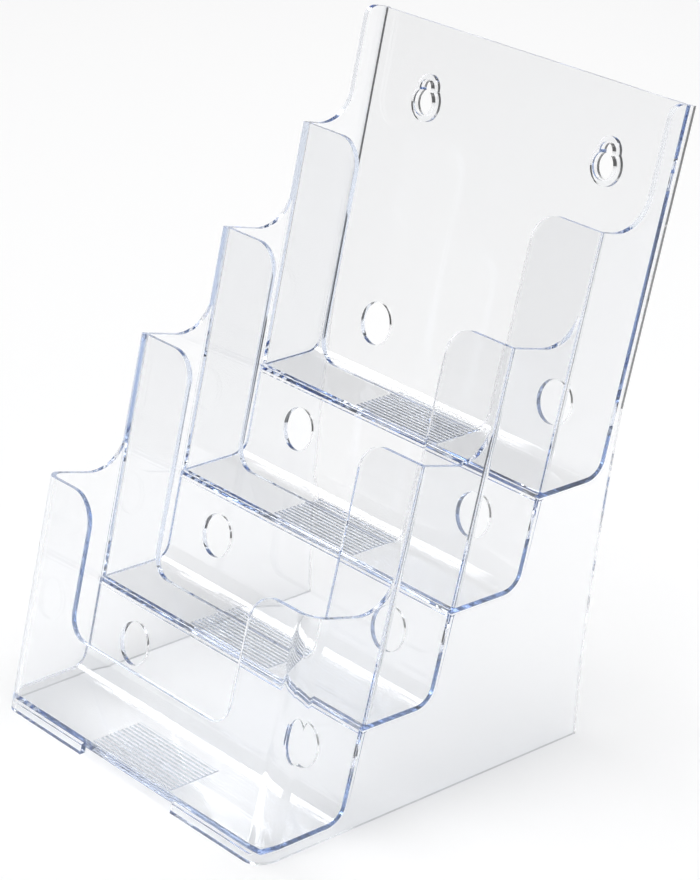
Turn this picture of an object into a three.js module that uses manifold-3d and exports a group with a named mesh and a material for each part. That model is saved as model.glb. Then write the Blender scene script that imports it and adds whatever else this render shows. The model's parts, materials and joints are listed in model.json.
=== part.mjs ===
// A clear plastic four-tier leaflet rack for a counter or a wall. Lengths are in millimetres.
// Everything leans back by one angle, so each piece is drawn upright in a frame of its own, with
// x across the rack, y through it from front to back and z up the lean, and one group leans them all.
import * as THREE from 'three';
import { mergeVertices } from 'three/addons/utils/BufferGeometryUtils.js';
import Module from 'manifold-3d';

const wasm = await Module();
wasm.setup();

// Driving dimensions.
const lean = THREE.MathUtils.degToRad(16.44);
const halfWidth = 80; // outside of the sides, at the ground
const draft = 0.0238; // how much each side moves out for each millimetre of height
const wall = 2.1; // pocket walls and base sides
const sheet = 1.9; // tier sheets, which make the floors, the risers and the back
const joint = 0.3; // glue line between two pieces
const overshoot = 5; // how far a cutter runs past what it cuts

const frontPlanes = [0, 34.7, 64.4, 94.1]; // front face of each tier's pocket wall
const ledge = 0.9; // each upper floor's edge and the riser under it stand in front of the wall above
const backPlane = 121.6; // front face of the back
const rearPlane = 125.1; // rear of the rims that the base sides run up behind the back
const floorFronts = [4.9, 49.9, 92.4, 135]; // middle of each floor's front edge, up the lean
const wallTops = [92.4, 147, 189.7, 232.3]; // tops of the pocket walls
const backTop = 279.8;
const floorFalls = [0, 1.5, 1.5, 1.5].map(THREE.MathUtils.degToRad); // floors fall a little to the back
const bendRadius = 7.2; // inside of the bend from floor to riser

const lipHeights = [35.1, 12.5, 12.5, 12.7]; // front lip, above the middle of the floor's edge
const openingHalves = [47.8, 48.9, 48.2, 47.3]; // half of the U-shaped front opening
const earRadii = [12.5, 11, 11, 11.5]; // top inner corner of each ear
const lipRadius = 9; // where an ear meets the lip
const cornerRadii = [8, 0.3, 0.3, 0.3]; // upright front corners of each tier, outside
const innerCornerRadius = 1; // upright corners inside the upper pockets
const sideSweeps = [15, 15, 15, 14]; // where a side's top sweeps up to the tier behind
const flangeFront = 114.4; // front of the narrow flange beside the back
const flangeRadius = 5;

const holeRadius = 8.45; // round holes through each riser and the back
const holeOffset = 51.4;
const holeDrop = 16.2; // below the floor edge of the tier behind
const virtualFloorFront = 177.9; // where a fifth floor would start, for the holes in the back
const keyholeOffset = 50.5;
const keyholeHeight = 249.6;
const keyholeRise = 5.4; // from the head hole to the shank hole
const keyholeHeadRadius = 5.3;
const keyholeShankRadius = 3.3;
const bossMargin = 2.2; // rim round a keyhole
const bossHeight = 1.7;

const gripHalfWidth = 24.2; // ribbed grip on each floor
const gripStart = 3; // from the tier's front face, along the floor
const ribCount = 12;
const ribPitch = 1.8;
const ribHeight = 0.16;
const ribTopShare = 0.4; // flat top of a rib, as a share of the pitch
const gripSunk = 0.6; // how far the ribs' root goes into the sheet
const gripPlinth = 0.15; // step up from the floor to the foot of the ribs

const tabStart = 28.3; // inner end of the front feet, from the middle
const rearFoot = 147.8; // rear corner of the base sides, on the ground
const rearFootLean = THREE.MathUtils.degToRad(3);
const rearTopLean = THREE.MathUtils.degToRad(12.4); // where the rear edge runs into the rim
const crestHeight = 126; // of that place, above the ground

const tierCount = frontPlanes.length;
const planes = [...frontPlanes, backPlane];
const sheetPlanes = planes.map((y, tier) => (tier === 0 || tier === tierCount ? y : y - ledge));
const curveSegments = 12;
const circleSegments = 32;
const depth = rearPlane * Math.cos(lean) + backTop * Math.sin(lean);

const clear = { roughness: 0.06, metalness: 0 };
const colours = { wall: 0xeef1f6, sheet: 0xdfe6f2, base: 0xf1f3f6 };

// Solids and geometries.

function solidOf(geometry) {
  const bare = geometry.clone();
  bare.deleteAttribute('normal');
  bare.deleteAttribute('uv');
  const welded = mergeVertices(bare);
  const vertProperties = new Float32Array(welded.attributes.position.array);
  const triVerts = new Uint32Array(welded.index.array);
  return new wasm.Manifold(new wasm.Mesh({ numProp: 3, vertProperties, triVerts }));
}

function geometryOf(solid) {
  const mesh = solid.getMesh();
  const geometry = new THREE.BufferGeometry();
  geometry.setAttribute('position', new THREE.BufferAttribute(mesh.vertProperties, 3));
  geometry.setIndex(new THREE.BufferAttribute(mesh.triVerts, 1));
  return geometry;
}

function extruded(shape, length) {
  return new THREE.ExtrudeGeometry(shape, { depth: length, bevelEnabled: false, curveSegments });
}

// A side view, drawn as (y, z), as wide as from one x to another.
function acrossSolid(shape, fromX, toX) {
  const geometry = extruded(shape, toX - fromX);
  geometry.applyMatrix4(new THREE.Matrix4().makeBasis(
    new THREE.Vector3(0, 1, 0),
    new THREE.Vector3(0, 0, 1),
    new THREE.Vector3(1, 0, 0),
  ));
  geometry.translate(fromX, 0, 0);
  return solidOf(geometry);
}

// A plan, drawn as (x, y), as tall as from one z to another.
function uprightSolid(shape, fromZ, toZ) {
  const geometry = extruded(shape, toZ - fromZ);
  geometry.translate(0, 0, fromZ);
  return solidOf(geometry);
}

// A front view, drawn as (x, z), as deep as from one y to another.
function throughSolid(shape, fromY, toY) {
  const geometry = extruded(shape, toY - fromY);
  geometry.rotateX(Math.PI / 2);
  geometry.translate(0, toY, 0);
  return solidOf(geometry);
}

// The sides lean out, so widths grow with the height above the ground.
function drafted(solid) {
  const geometry = geometryOf(solid);
  const position = geometry.attributes.position;
  for (let i = 0; i < position.count; i += 1) {
    const height = position.getZ(i) * Math.cos(lean) - position.getY(i) * Math.sin(lean);
    position.setX(i, position.getX(i) * (1 + (draft * height) / halfWidth));
  }
  return geometry;
}

// A point given by its place behind the front foot and its height above the ground.
function leant(back, height) {
  return new THREE.Vector2(
    back * Math.cos(lean) - height * Math.sin(lean),
    back * Math.sin(lean) + height * Math.cos(lean),
  );
}

// Profiles shared by the pieces that meet along a tier's floor, bend and riser.

function floorSlope(tier) {
  return lean - floorFalls[tier];
}

// The bend's centre, and the height of a line parallel to the floor's middle, offset above it.
function floorLine(tier, offset, y) {
  const slope = floorSlope(tier);
  return floorFronts[tier] + offset / Math.cos(slope) + (y - planes[tier]) * Math.tan(slope);
}

function bendCentre(tier) {
  const y = sheetPlanes[tier + 1] - bendRadius;
  return new THREE.Vector2(y, floorLine(tier, sheet / 2 + bendRadius, y));
}

// From the front along the floor and round the bend, on a surface that is offset from the sheet's
// upper face: 0 is that face, a positive offset is inside the pocket.
function traceFloor(shape, tier, offset, front) {
  const centre = bendCentre(tier);
  const start = floorSlope(tier) - Math.PI / 2;
  shape.lineTo(front, floorLine(tier, sheet / 2 + offset, front));
  shape.absarc(centre.x, centre.y, bendRadius - offset, start, 0, false);
}

function traceFloorBack(shape, tier, offset) {
  const centre = bendCentre(tier);
  const end = floorSlope(tier) - Math.PI / 2;
  shape.absarc(centre.x, centre.y, bendRadius - offset, 0, end, true);
  shape.lineTo(sheetPlanes[tier], floorLine(tier, sheet / 2 + offset, sheetPlanes[tier]));
}

// Plan of a box that is open at the back, with round front corners.
function roundFrontPlan(half, front, back, radius) {
  const plan = new THREE.Shape();
  plan.moveTo(half, back);
  plan.lineTo(-half, back);
  plan.absarc(-half + radius, front + radius, radius, Math.PI, 1.5 * Math.PI, false);
  plan.absarc(half - radius, front + radius, radius, -Math.PI / 2, 0, false);
  plan.closePath();
  return plan;
}

function circle(x, z, radius) {
  const shape = new THREE.Shape();
  for (let i = 0; i < circleSegments; i += 1) {
    const angle = (2 * Math.PI * i) / circleSegments;
    const point = [x + radius * Math.cos(angle), z + radius * Math.sin(angle)];
    if (i === 0) shape.moveTo(...point);
    else shape.lineTo(...point);
  }
  shape.closePath();
  return shape;
}

// Everything behind a tier's front and between its sides, with the upright corners rounded.
function outsideOf(tier, front) {
  return uprightSolid(
    roundFrontPlan(halfWidth, front, rearPlane + 2 * halfWidth, cornerRadii[tier]),
    -halfWidth,
    backTop + overshoot,
  );
}

// Pocket walls: a front with its lip and two ears, and both sides, in one piece for each tier.

function pocketSide(tier) {
  const top = wallTops[tier];
  const sweep = sideSweeps[tier];
  const rear = planes[tier + 1] - joint;
  const side = new THREE.Shape();
  side.moveTo(planes[tier], top);
  traceFloor(side, tier, joint, planes[tier]);
  if (tier === tierCount - 1) {
    side.lineTo(rear, backTop);
    side.absarc(flangeFront + flangeRadius, backTop - flangeRadius, flangeRadius,
      Math.PI / 2, Math.PI, false);
    side.absarc(flangeFront - sweep, top + sweep, sweep, 0, -Math.PI / 2, true);
  } else {
    const overLedge = floorLine(tier + 1, sheet / 2 + joint, planes[tier + 1]);
    const tip = -Math.acos((sweep - joint) / sweep);
    side.lineTo(sheetPlanes[tier + 1] - joint, overLedge);
    side.lineTo(rear, overLedge);
    side.absarc(rear + joint - sweep, top + sweep, sweep, tip, -Math.PI / 2, true);
  }
  side.closePath();
  return side;
}

function frontOpening(tier) {
  const top = wallTops[tier];
  const lip = floorFronts[tier] + lipHeights[tier];
  const half = openingHalves[tier];
  const ear = earRadii[tier];
  const opening = new THREE.Shape();
  opening.moveTo(half + ear, top + overshoot);
  opening.lineTo(-half - ear, top + overshoot);
  opening.absarc(-half - ear, top - ear, ear, Math.PI / 2, 0, true);
  opening.absarc(-half + lipRadius, lip + lipRadius, lipRadius, Math.PI, 1.5 * Math.PI, false);
  opening.absarc(half - lipRadius, lip + lipRadius, lipRadius, -Math.PI / 2, 0, false);
  opening.absarc(half + ear, top - ear, ear, Math.PI, Math.PI / 2, true);
  opening.closePath();
  return opening;
}

function pocketWall(tier) {
  const front = planes[tier];
  const corner = Math.max(cornerRadii[tier] - wall, innerCornerRadius);
  const room = uprightSolid(
    roundFrontPlan(halfWidth - wall, front + wall, backPlane + overshoot, corner),
    -overshoot,
    backTop + overshoot,
  );
  const opening = throughSolid(frontOpening(tier), front - overshoot, front + wall + overshoot);
  const outside = outsideOf(tier, front);
  const block = acrossSolid(pocketSide(tier), -halfWidth, halfWidth).intersect(outside);
  return drafted(block.subtract(room).subtract(opening));
}

// Tier sheets: a floor, a bend and the riser behind it, or the back behind the highest floor.

function sheetProfile(tier) {
  const front = sheetPlanes[tier + 1];
  const isBack = tier === tierCount - 1;
  const topFront = isBack ? backTop : floorLine(tier + 1, -sheet / 2 - joint, front);
  const topRear = isBack ? backTop : floorLine(tier + 1, -sheet / 2 - joint, front + sheet);
  const profile = new THREE.Shape();
  profile.moveTo(sheetPlanes[tier], floorLine(tier, -sheet / 2, sheetPlanes[tier]));
  traceFloor(profile, tier, 0, sheetPlanes[tier]);
  profile.lineTo(front, topFront);
  profile.lineTo(front + sheet, topRear);
  traceFloorBack(profile, tier, -sheet);
  profile.closePath();
  return profile;
}

// Ribs that run across the floor, one behind the other, on a low plinth.
function gripProfile(tier) {
  const slope = floorSlope(tier);
  const at = (along, above) => [
    planes[tier] + along * Math.cos(slope) - above * Math.sin(slope),
    floorLine(tier, sheet / 2, planes[tier]) + along * Math.sin(slope) + above * Math.cos(slope),
  ];
  const rise = (ribPitch * (1 - ribTopShare)) / 2;
  const profile = new THREE.Shape();
  profile.moveTo(...at(gripStart, -gripSunk));
  profile.lineTo(...at(gripStart, gripPlinth));
  for (let rib = 0; rib < ribCount; rib += 1) {
    const start = gripStart + rib * ribPitch;
    profile.lineTo(...at(start + rise, gripPlinth + ribHeight));
    profile.lineTo(...at(start + ribPitch - rise, gripPlinth + ribHeight));
    profile.lineTo(...at(start + ribPitch, gripPlinth));
  }
  profile.lineTo(...at(gripStart + ribCount * ribPitch, -gripSunk));
  profile.closePath();
  return profile;
}

function discs(radius, x, z, fromY, toY) {
  const right = throughSolid(circle(x, z, radius), fromY, toY);
  const left = throughSolid(circle(-x, z, radius), fromY, toY);
  return right.add(left);
}

function keyholes(margin, fromY, toY) {
  const heads = discs(keyholeHeadRadius + margin, keyholeOffset, keyholeHeight, fromY, toY);
  const shankHeight = keyholeHeight + keyholeRise;
  return heads.add(discs(keyholeShankRadius + margin, keyholeOffset, shankHeight, fromY, toY));
}

function tierSheet(tier) {
  const front = sheetPlanes[tier + 1];
  const rear = front + sheet;
  const isBack = tier === tierCount - 1;
  const grip = acrossSolid(gripProfile(tier), -gripHalfWidth, gripHalfWidth);
  const outside = outsideOf(tier, sheetPlanes[tier]);
  const plate = acrossSolid(sheetProfile(tier), -halfWidth, halfWidth).intersect(outside);
  const blank = solidOf(drafted(plate)).add(grip);
  const holeHeight = (isBack ? virtualFloorFront : floorFronts[tier + 1]) - holeDrop;
  const holes = discs(holeRadius, holeOffset, holeHeight, front - overshoot, rear + overshoot);
  const pierced = blank.subtract(holes);
  if (!isBack) return geometryOf(pierced);
  const bosses = keyholes(bossMargin, front + sheet / 2, rear + bossHeight);
  const slots = keyholes(0, front - overshoot, rear + bossHeight + overshoot);
  return geometryOf(pierced.add(bosses).subtract(slots));
}

// Base sides: each stands on the ground, carries the sheets and turns the front corner as a foot.

function baseProfile() {
  const under = -sheet - joint;
  const profile = new THREE.Shape();
  profile.moveTo(0, 0);
  for (let tier = 0; tier < tierCount; tier += 1) {
    const centre = bendCentre(tier);
    const start = floorSlope(tier) - Math.PI / 2;
    const front = tier === 0 ? 0 : sheetPlanes[tier] + sheet + joint;
    profile.lineTo(front, floorLine(tier, sheet / 2 + under, front));
    profile.absarc(centre.x, centre.y, bendRadius - under, start, 0, false);
  }
  const crestBack = (rearPlane + crestHeight * Math.sin(lean)) / Math.cos(lean);
  const crest = leant(crestBack, crestHeight);
  const heel = leant(rearFoot, 0);
  const bendHeight = (rearFoot - crestBack + crestHeight * Math.tan(rearTopLean))
    / (Math.tan(rearTopLean) - Math.tan(rearFootLean));
  const bend = leant(rearFoot + bendHeight * Math.tan(rearFootLean), bendHeight);
  profile.lineTo(backPlane + sheet + joint, backTop);
  profile.lineTo(rearPlane, backTop);
  profile.lineTo(crest.x, crest.y);
  profile.quadraticCurveTo(bend.x, bend.y, heel.x, heel.y);
  profile.closePath();
  return profile;
}

function baseSide(hand) {
  const room = uprightSolid(
    roundFrontPlan(halfWidth - wall, wall, rearPlane + 2 * halfWidth, cornerRadii[0] - wall),
    -halfWidth,
    backTop + overshoot,
  );
  const near = Math.min(hand * tabStart, hand * halfWidth);
  const far = Math.max(hand * tabStart, hand * halfWidth);
  const block = acrossSolid(baseProfile(), near, far);
  return drafted(block.intersect(outsideOf(0, 0)).subtract(room));
}

// The scene graph.

const leaning = new THREE.Group();
leaning.rotation.x = -lean;

function addPiece(name, geometry, colour) {
  const mesh = new THREE.Mesh(geometry, new THREE.MeshStandardMaterial({ color: colour, ...clear }));
  mesh.name = name;
  leaning.add(mesh);
}

for (let tier = 0; tier < tierCount; tier += 1) {
  const isBack = tier === tierCount - 1;
  addPiece(`pocket_wall_${tier + 1}`, pocketWall(tier), colours.wall);
  addPiece(isBack ? 'back_sheet' : `tier_sheet_${tier + 1}`, tierSheet(tier), colours.sheet);
}
addPiece('left_base_side', baseSide(-1), colours.base);
addPiece('right_base_side', baseSide(1), colours.base);

const rack = new THREE.Group();
rack.position.y = -depth / 2;
rack.add(leaning);

export default rack;
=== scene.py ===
"""A clear plastic four-tier leaflet rack on a white table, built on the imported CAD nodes. Metres.

Each CAD node is copied as one clear piece with slightly rounded free edges. Where two pieces are bonded
light passes straight across, as it does through a solvent-bonded seam.
"""
import json
import math

import bmesh
import bpy
from mathutils import Matrix, Vector
from mathutils.bvhtree import BVHTree


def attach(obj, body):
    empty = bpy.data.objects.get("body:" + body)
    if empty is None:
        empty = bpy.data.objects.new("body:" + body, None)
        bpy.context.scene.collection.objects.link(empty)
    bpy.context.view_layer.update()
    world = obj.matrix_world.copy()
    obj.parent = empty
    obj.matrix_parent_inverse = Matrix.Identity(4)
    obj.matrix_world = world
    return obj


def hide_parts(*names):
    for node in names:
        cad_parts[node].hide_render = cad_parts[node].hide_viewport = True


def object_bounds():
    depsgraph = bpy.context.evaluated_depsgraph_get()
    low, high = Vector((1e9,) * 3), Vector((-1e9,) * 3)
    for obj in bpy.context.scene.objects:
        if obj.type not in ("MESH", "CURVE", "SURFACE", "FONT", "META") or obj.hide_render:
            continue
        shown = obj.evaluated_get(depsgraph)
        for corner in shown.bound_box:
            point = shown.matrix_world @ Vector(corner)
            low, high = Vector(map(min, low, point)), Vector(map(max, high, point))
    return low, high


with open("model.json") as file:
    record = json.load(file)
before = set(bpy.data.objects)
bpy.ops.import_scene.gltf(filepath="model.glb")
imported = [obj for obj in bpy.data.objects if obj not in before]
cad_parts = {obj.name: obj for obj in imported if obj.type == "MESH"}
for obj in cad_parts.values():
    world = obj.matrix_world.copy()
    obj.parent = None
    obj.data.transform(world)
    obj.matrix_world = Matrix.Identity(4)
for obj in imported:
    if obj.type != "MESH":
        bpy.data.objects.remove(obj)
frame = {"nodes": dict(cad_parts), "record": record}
cad_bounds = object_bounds()
scene = bpy.context.scene

# The rack's driving dimensions, which place the seams between its pieces.

LEAN = math.radians(16.44)
RACK_FRONT = round(-cad_bounds[0][1], 6)    # from the origin forward to the lowest pocket's foot
HALF_WIDTH = 0.08               # at the ground
DRAFT = 0.0238 / HALF_WIDTH     # how much wider the rack gets for each metre up, as a share
WALL = 0.0021                   # thickness of the pocket walls and base sides
SHEET = 0.0019
TAB_START = 0.0283              # inner end of the front feet
FIRST_STEP = 0.0347             # from the lowest tier's front to the second one's
STEP = 0.0297                   # between the fronts of the upper tiers
LEDGE = 0.0009                  # the upper sheets stand this far in front of the walls above them
WALL_FRONTS = [0.0] + [FIRST_STEP + STEP * tier for tier in range(3)]
SHEET_FRONTS = [front - LEDGE for front in WALL_FRONTS[1:]]
WALL_TOPS = (0.0924, 0.147, 0.1897)     # of the three lower pockets, up the lean
SIDE_RISE = 0.012               # the sides of a pocket reach this far above its front
GRIP_HALF_WIDTH = 0.0246
RIB_SLOPE = (0.2, 0.35)         # how far the sides of a grip's ribs slope, as a sine
FRONT_WAY = Vector((0, -math.cos(LEAN), math.sin(LEAN)))

# Seams and edges.

SAME_POINT = 1e-6
FLAT_TURN = math.radians(0.4)   # faces that turn less than this are one flat face
STRIP_TURN = math.radians(0.3)  # a strip that turns less than this belongs to the face beside it
EDGE_ROUND = 0.00022            # how far each sharp edge is rounded back
EDGE_SEGMENTS = 2
SHARP_TURN = math.radians(30)
CURVE_STEP = 0.00205            # a face narrower than this is a step of a curve, shaded smooth
CURVE_TURN = math.radians(13)
SEAM_REACH = 0.0005             # pieces closer than this are bonded
SEAM_LEFT = 0.00003             # gap left where a wall's end comes up to a sheet
START_BACK = 0.0001             # a search for the next piece starts this far behind the face
EDGE_INSET = 0.0004             # where a face is tried beside its edge
CORNER_INSET = 0.00005          # where a face is tried beside its corner
FACING = 0.9                    # how squarely a face looks some way, as a cosine
TABLE_REACH = 0.0003            # a face lower than this is on the table
TABLE_CONTACT = 0.6             # how much of a long underside touches the table

# Plastic.

PLASTIC_BLUE = (0.05, 0.29, 0.7, 1)
PLASTIC_DENSITY = 7.5
PLASTIC_IOR = 1.5
RIPPLE_SCALE = 9.0
RIPPLE_DETAIL = 1.0
RIPPLE_STRENGTH = 0.02
RIPPLE_DEPTH = 0.002
HAZE_SCALE = 60.0
HAZE_DETAIL = 4.0
HAZE_ROUGHNESS = 0.03
# painted shade: the darker grey on the rib slopes stands in for the dark surroundings their facets
# reflect and refract; the plastic itself is clear there
RIB_PAINTED_SHADE = (0.42, 0.46, 0.53, 1)
RIB_ROUGHNESS = 0.22
LAMP_THROUGH = (0.71, 0.71, 0.71, 1)    # what each face lets a lamp's light through
CLEAR_SLOTS = ("pocket_clear", "sheet_clear", "base_clear")

# Table and studio.

TABLE_SIZE = 2.4
TABLE_DROP = 0.0002             # the table lies just under the rack, not in the same plane
TABLE_WHITE = (0.93, 0.93, 0.93, 1)
TABLE_ROUGHNESS = 0.9
STUDIO_DARK = (0.12, 0.12, 0.122, 1)
STUDIO_WHITE = (0.95, 0.95, 0.95, 1)
SWEEP_WAY = (-0.78, 0.62, 0.0)  # the white sweep stands on this side
SWEEP_SIDE = (0.15, 0.75)       # where it fades in, as a cosine from the middle of the sweep
SWEEP_TOP = (0.18, 0.42)        # where it fades out upwards
GROUND_EDGE = (-0.12, 0.0)      # where the white floor ends, just under the horizon

# Camera, from the photo's perspective.

LENS_MM = 135.03
FILM_MM = 36.0
CAMERA_YAW = math.radians(52.0432)
CAMERA_PITCH = math.radians(23.7447)
CAMERA_ROLL = math.radians(-1.5985)
CAMERA_TARGET = Vector((0.0, -0.0381, 0.13))
CAMERA_DISTANCE = 1.17926
CAMERA_SIDE = 0.03727           # how far it moves sideways and up after it is turned to the target
CAMERA_UP = -0.01104
CAMERA_NEAR = 0.01

# Light paths.

LIGHT_BOUNCES = 300             # light runs a long way inside the sheets before it leaves an edge
CLEAR_BOUNCES = 64              # how many bonded faces light may cross in one go


# Where one piece ends on another.

def lean_plane(back):
    """A plane that leans with the rack, this far behind the lowest pocket's front."""
    point = Vector((0, back * math.cos(LEAN) - RACK_FRONT, -back * math.sin(LEAN)))
    return point, Vector((0, math.cos(LEAN), -math.sin(LEAN)))


def height_plane(height):
    """A plane square to the lean, this far up it from the lowest pocket's front foot."""
    point = Vector((0, height * math.sin(LEAN) - RACK_FRONT, height * math.cos(LEAN)))
    return point, Vector((0, math.sin(LEAN), math.cos(LEAN)))


def side_plane(half, hand):
    """A plane that leans out with the sides."""
    return Vector((hand * half, 0, 0)), Vector((hand, 0, -half * DRAFT))


def seam_planes():
    """Where the thickness of one piece ends on the broad face of another."""
    for hand in (-1, 1):
        yield side_plane(HALF_WIDTH - WALL, hand)
        yield side_plane(TAB_START, hand)
    for front in WALL_FRONTS:
        yield lean_plane(front)
        yield lean_plane(front + WALL)
    for front in SHEET_FRONTS:
        yield lean_plane(front + SHEET)
    for top in WALL_TOPS:
        yield height_plane(top + SIDE_RISE)


def tree_of_others(name):
    """One search tree of every other piece."""
    points, faces = [], []
    for other in sorted(frame["nodes"]):
        if other == name:
            continue
        start = len(points)
        mesh = frame["nodes"][other].data
        points += [v.co.copy() for v in mesh.vertices]
        faces += [[start + i for i in face.vertices] for face in mesh.polygons]
    return BVHTree.FromPolygons(points, faces)


def gap_at(others, point, normal):
    """How far in front of a face another piece's face meets it, or None if it's in the open."""
    start = point - normal * START_BACK
    hit, facing, _, distance = others.ray_cast(start, normal, START_BACK + SEAM_REACH)
    if hit is None or facing.dot(normal) > -FACING:
        return None
    return distance - START_BACK


def is_bonded(others, face):
    """True if another piece's face meets the middle of this one."""
    return gap_at(others, face.calc_center_median(), face.normal) is not None


def is_seam(others, edge):
    """True if another piece comes up to this edge."""
    middle = (edge.verts[0].co + edge.verts[1].co) / 2
    along = (edge.verts[1].co - edge.verts[0].co).normalized()
    for face in edge.link_faces:
        inward = face.normal.cross(along)
        if inward.dot(face.calc_center_median() - middle) < 0:
            inward = -inward
        if gap_at(others, middle + inward * EDGE_INSET, face.normal) is not None:
            return True
    return False


# Kinds of face.

def is_curve_step(face):
    """True for a narrow face that isn't just a strip of a broad flat one."""
    longest = max(face.edges, key=lambda e: e.calc_length())
    if face.calc_area() > CURVE_STEP * longest.calc_length():
        return False
    return longest.calc_face_angle(0.0) > STRIP_TURN


def rests_on_table(face):
    """The long undersides of the base sides, behind the front feet."""
    middle = face.calc_center_median()
    return face.normal.z < -FACING and middle.z < TABLE_REACH and middle.y > WALL - RACK_FRONT


def is_rib_slope(face):
    """The sloping sides of a grip's ribs, which tip towards the front or the back."""
    if not all(abs(v.co.x) < GRIP_HALF_WIDTH for v in face.verts):
        return False
    least, most = RIB_SLOPE
    return face.normal.z > FACING and least < abs(face.normal.y) < most


# Pieces.

def whole_faced(mesh):
    """The CAD node as a shape whose flat faces are whole."""
    shape = bmesh.new()
    shape.from_mesh(mesh)
    bmesh.ops.remove_doubles(shape, verts=shape.verts, dist=SAME_POINT)
    bmesh.ops.dissolve_limit(shape, angle_limit=FLAT_TURN, verts=shape.verts, edges=shape.edges)
    return shape


def round_free_edges(shape, others):
    """Rounds the sharp edges that no other piece comes up to."""
    sharp = [e for e in shape.edges if len(e.link_faces) == 2 and e.calc_face_angle(0.0) > SHARP_TURN]
    free = [e for e in sharp if not is_seam(others, e)]
    bmesh.ops.bevel(shape, geom=free, offset=EDGE_ROUND, offset_type="OFFSET", segments=EDGE_SEGMENTS,
                    profile=0.5, affect="EDGES", clamp_overlap=True)


def cut_at_seams(shape):
    """Cuts the faces where another piece's thickness ends, so that each is either bonded or free."""
    for point, normal in seam_planes():
        geometry = shape.verts[:] + shape.edges[:] + shape.faces[:]
        bmesh.ops.bisect_plane(shape, geom=geometry, dist=SAME_POINT, plane_co=point, plane_no=normal)
    bmesh.ops.triangulate(shape, faces=[f for f in shape.faces if len(f.verts) > 4])
    shape.normal_update()


def mark_faces(shape, others):
    """Marks bonded faces and the slopes of ribs for the plastic, and returns the bonded ones."""
    bonded = shape.faces.layers.float.new("bonded")
    ribbed = shape.faces.layers.float.new("ribbed")
    joined = [f for f in shape.faces if is_bonded(others, f)]
    for face in joined:
        face[bonded] = 1.0
    for face in shape.faces:
        face[ribbed] = 1.0 if is_rib_slope(face) else 0.0
        if rests_on_table(face):
            face[bonded] = TABLE_CONTACT
    return set(joined)


def close_seams(shape, others, name, joined):
    """The ends of the walls come up to the sheets they're bonded to. The sheets and the walls' fronts
    stay where they are."""
    if "sheet" in name:
        return
    moves = {}
    for vert in shape.verts:
        ends = [f for f in vert.link_faces if f in joined]
        if not ends:
            continue
        way = sum((f.normal for f in ends), Vector()).normalized()
        if "pocket" in name and way.dot(FRONT_WAY) > FACING:
            continue
        inner = sum((f.calc_center_median() for f in ends), Vector()) / len(ends)
        start = vert.co + (inner - vert.co).normalized() * CORNER_INSET
        gap = gap_at(others, start, way)
        if gap is not None:
            moves[vert] = way * (gap - SEAM_LEFT)
    for vert, move in moves.items():
        vert.co += move


def smooth_curves(shape):
    """Curves are shaded smooth and broad faces flat, so that what's behind them shows undistorted."""
    for face in shape.faces:
        face.smooth = is_curve_step(face)
    for edge in shape.edges:
        edge.smooth = edge.calc_face_angle(0.0) < CURVE_TURN


def clear_piece(name):
    """The clear piece that takes the place of one CAD node."""
    mesh = frame["nodes"][name].data.copy()
    mesh.name = name + "_fine"
    others = tree_of_others(name)
    shape = whole_faced(mesh)
    round_free_edges(shape, others)
    cut_at_seams(shape)
    joined = mark_faces(shape, others)
    close_seams(shape, others, name, joined)
    smooth_curves(shape)
    shape.to_mesh(mesh)
    shape.free()
    piece = bpy.data.objects.new(name + "_clear", mesh)
    scene.collection.objects.link(piece)
    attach(piece, "root")
    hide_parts(name)
    return piece


# Materials.

def add(tree, kind, inputs, **settings):
    """One shader node; an input given as a socket is linked and any other is set."""
    node = tree.nodes.new(kind)
    for key, value in settings.items():
        setattr(node, key, value)
    for key, value in inputs.items():
        if isinstance(value, bpy.types.NodeSocket):
            tree.links.new(value, node.inputs[key])
        else:
            node.inputs[key].default_value = value
    return node


def face_mark(tree, name):
    """How strongly a face carries one of its marks, from 0 to 1."""
    return add(tree, "ShaderNodeAttribute", {}, attribute_name=name).outputs["Fac"]


def noise(tree, place, scale, detail):
    inputs = {"Vector": place, "Scale": scale, "Detail": detail}
    return add(tree, "ShaderNodeTexNoise", inputs).outputs["Fac"]


def mixed(tree, share, first, second):
    return add(tree, "ShaderNodeMixShader", {"Fac": share, 1: first, 2: second}).outputs["Shader"]


def rippled_normal(tree, place):
    """The faint unevenness of moulded faces."""
    wave = noise(tree, place, RIPPLE_SCALE, RIPPLE_DETAIL)
    inputs = {"Strength": RIPPLE_STRENGTH, "Distance": RIPPLE_DEPTH, "Height": wave}
    return add(tree, "ShaderNodeBump", inputs).outputs["Normal"]


def face_roughness(tree, place, ribbed):
    """Nearly polished with a faint haze, and frosted on the slopes of the ribs."""
    haze = noise(tree, place, HAZE_SCALE, HAZE_DETAIL)
    polished = add(tree, "ShaderNodeMapRange", {"Value": haze, "To Min": 0.0, "To Max": HAZE_ROUGHNESS})
    inputs = {"Factor": ribbed, "A": polished.outputs["Result"], "B": RIB_ROUGHNESS}
    return add(tree, "ShaderNodeMix", inputs).outputs["Result"]


def face_colour(tree, ribbed):
    """Colourless but for the slopes of the ribs, which carry painted shade: a darker grey standing in
    for the dark studio and table shade their facets would show.
    """
    inputs = {"Factor": ribbed, "A": (1, 1, 1, 1), "B": RIB_PAINTED_SHADE}
    return add(tree, "ShaderNodeMix", inputs, data_type="RGBA").outputs["Result"]


def polished_face(tree):
    """A face that bends and reflects light."""
    place = add(tree, "ShaderNodeTexCoord", {}).outputs["Object"]
    ribbed = face_mark(tree, "ribbed")
    return add(tree, "ShaderNodeBsdfPrincipled", {
        "Transmission Weight": 1.0,
        "IOR": PLASTIC_IOR,
        # the base colour carries the painted shade on the rib slopes
        "Base Color": face_colour(tree, ribbed),
        "Roughness": face_roughness(tree, place, ribbed),
        "Normal": rippled_normal(tree, place),
    }).outputs["BSDF"]


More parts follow.
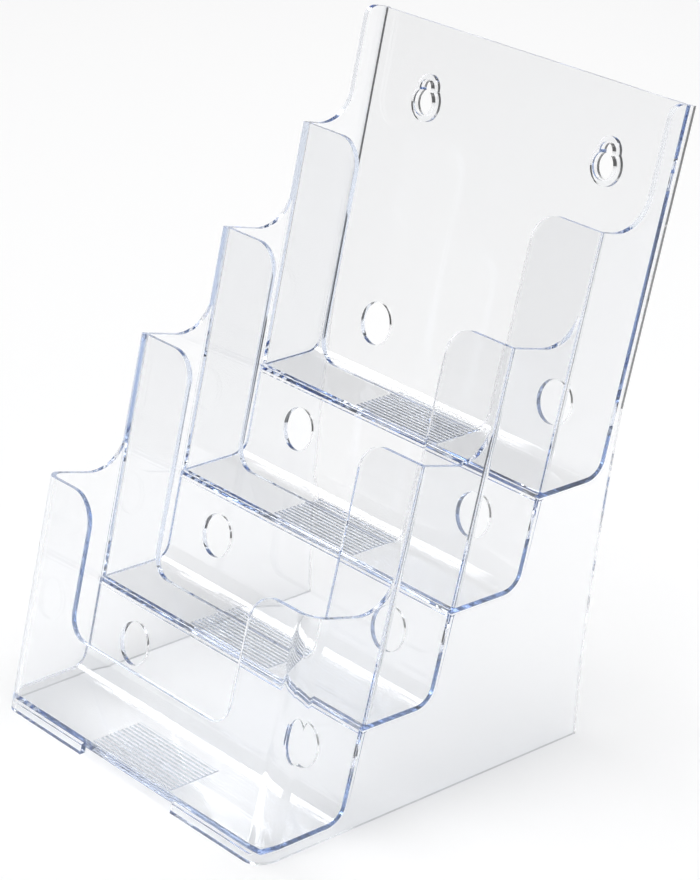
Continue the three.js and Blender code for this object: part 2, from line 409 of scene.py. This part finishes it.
def clear_plastic(name):
    """Clear plastic that turns blue along its length. Its faces dim the direct light of the lamps, the
    rest of which arrives as caustics, and a bonded face lets all light straight on."""
    material = bpy.data.materials.new(name)
    material.use_nodes = True
    tree = material.node_tree
    tree.nodes.clear()
    dimmed = add(tree, "ShaderNodeBsdfTransparent", {"Color": LAMP_THROUGH}).outputs["BSDF"]
    onward = add(tree, "ShaderNodeBsdfTransparent", {}).outputs["BSDF"]
    to_lamp = add(tree, "ShaderNodeLightPath", {}).outputs["Is Shadow Ray"]
    face = mixed(tree, to_lamp, polished_face(tree), dimmed)
    face = mixed(tree, face_mark(tree, "bonded"), face, onward)
    body = add(tree, "ShaderNodeVolumeAbsorption", {"Color": PLASTIC_BLUE, "Density": PLASTIC_DENSITY})
    add(tree, "ShaderNodeOutputMaterial", {"Surface": face, "Volume": body.outputs["Volume"]})
    return material


def table_white():
    """Matt white without a highlight."""
    material = bpy.data.materials.new("white_table")
    material.use_nodes = True
    surface = material.node_tree.nodes["Principled BSDF"]
    surface.inputs["Base Color"].default_value = TABLE_WHITE
    surface.inputs["Roughness"].default_value = TABLE_ROUGHNESS
    surface.inputs["Specular IOR Level"].default_value = 0.0
    return material


# Stage.

def table():
    bpy.ops.mesh.primitive_plane_add(size=TABLE_SIZE, location=(0, 0, -TABLE_DROP))
    top = bpy.context.object
    top.name = "table"
    top.data.materials.append(table_white())


def softbox(name, place, aim, width, height, watts):
    """A rectangular lamp turned towards a point."""
    light = bpy.data.lights.new(name, "AREA")
    light.shape = "RECTANGLE"
    light.size = width
    light.size_y = height
    light.energy = watts
    lamp = bpy.data.objects.new(name, light)
    scene.collection.objects.link(lamp)
    lamp.location = place
    lamp.rotation_euler = (Vector(aim) - Vector(place)).to_track_quat("-Z", "Y").to_euler()


def ramp(tree, value, limits, start, end):
    """A soft step from one value to another, between two limits."""
    least, most = limits
    inputs = {"Value": value, "From Min": least, "From Max": most, "To Min": start, "To Max": end}
    return add(tree, "ShaderNodeMapRange", inputs, interpolation_type="SMOOTHSTEP").outputs["Result"]


def studio():
    """A dark studio with a white sweep low down behind the rack and a white floor all round."""
    world = bpy.data.worlds.new("studio")
    world.use_nodes = True
    tree = world.node_tree
    way = add(tree, "ShaderNodeTexCoord", {}).outputs["Generated"]
    upward = add(tree, "ShaderNodeSeparateXYZ", {0: way}).outputs["Z"]
    behind = add(tree, "ShaderNodeVectorMath", {0: way, 1: SWEEP_WAY}, operation="DOT_PRODUCT")
    side = ramp(tree, behind.outputs["Value"], SWEEP_SIDE, 0.0, 1.0)
    low = ramp(tree, upward, SWEEP_TOP, 1.0, 0.0)
    ground = ramp(tree, upward, GROUND_EDGE, 1.0, 0.0)
    sweep = add(tree, "ShaderNodeMath", {0: side, 1: low}, operation="MULTIPLY").outputs[0]
    white = add(tree, "ShaderNodeMath", {0: sweep, 1: ground}, operation="MAXIMUM").outputs[0]
    inputs = {"Factor": white, "A": STUDIO_DARK, "B": STUDIO_WHITE}
    light = add(tree, "ShaderNodeMix", inputs, data_type="RGBA").outputs["Result"]
    tree.links.new(light, tree.nodes["Background"].inputs["Color"])
    scene.world = world


def photo_camera():
    """A camera turned round the target by yaw, pitch and roll, then moved a little sideways and up."""
    sin_y, cos_y = math.sin(CAMERA_YAW), math.cos(CAMERA_YAW)
    sin_p, cos_p = math.sin(CAMERA_PITCH), math.cos(CAMERA_PITCH)
    sin_r, cos_r = math.sin(CAMERA_ROLL), math.cos(CAMERA_ROLL)
    ahead = Vector((-sin_y * cos_p, cos_y * cos_p, -sin_p))
    level = Vector((cos_y, sin_y, 0))
    upright = level.cross(ahead)
    right = cos_r * level + sin_r * upright
    up = -sin_r * level + cos_r * upright
    place = CAMERA_TARGET - ahead * CAMERA_DISTANCE + right * CAMERA_SIDE + up * CAMERA_UP
    lens = bpy.data.cameras.new("photo")
    lens.lens = LENS_MM
    lens.sensor_width = FILM_MM
    lens.sensor_fit = "AUTO"
    lens.clip_start = CAMERA_NEAR
    camera = bpy.data.objects.new("photo_camera", lens)
    scene.collection.objects.link(camera)
    camera.matrix_world = Matrix((
        (right.x, up.x, -ahead.x, place.x),
        (right.y, up.y, -ahead.y, place.y),
        (right.z, up.z, -ahead.z, place.z),
        (0, 0, 0, 1),
    ))
    scene.camera = camera


def light_paths():
    """Enough bounces for light to run through many sheets, and caustics for what they gather."""
    scene.view_settings.view_transform = "Standard"
    scene.cycles.max_bounces = LIGHT_BOUNCES
    scene.cycles.transmission_bounces = LIGHT_BOUNCES
    scene.cycles.glossy_bounces = LIGHT_BOUNCES
    scene.cycles.transparent_max_bounces = CLEAR_BOUNCES
    scene.cycles.caustics_refractive = True
    scene.cycles.caustics_reflective = True


plastics = {slot: clear_plastic(slot + "_plastic") for slot in CLEAR_SLOTS}
slot_of = {entry["node"]: entry["material_slot"] for entry in frame["record"]["subparts"]}
for name in sorted(frame["nodes"]):
    piece = clear_piece(name)
    piece.data.materials.clear()
    piece.data.materials.append(plastics[slot_of[name]])

table()
softbox("overhead", place=(0.15, 0.15, 3.0), aim=(0, 0, 0), width=3.4, height=3.4, watts=109)
softbox("strip", place=(-2.2, 0.0, 2.1), aim=(0, 0, 0.1), width=0.9, height=0.5, watts=9)
studio()
photo_camera()
light_paths()
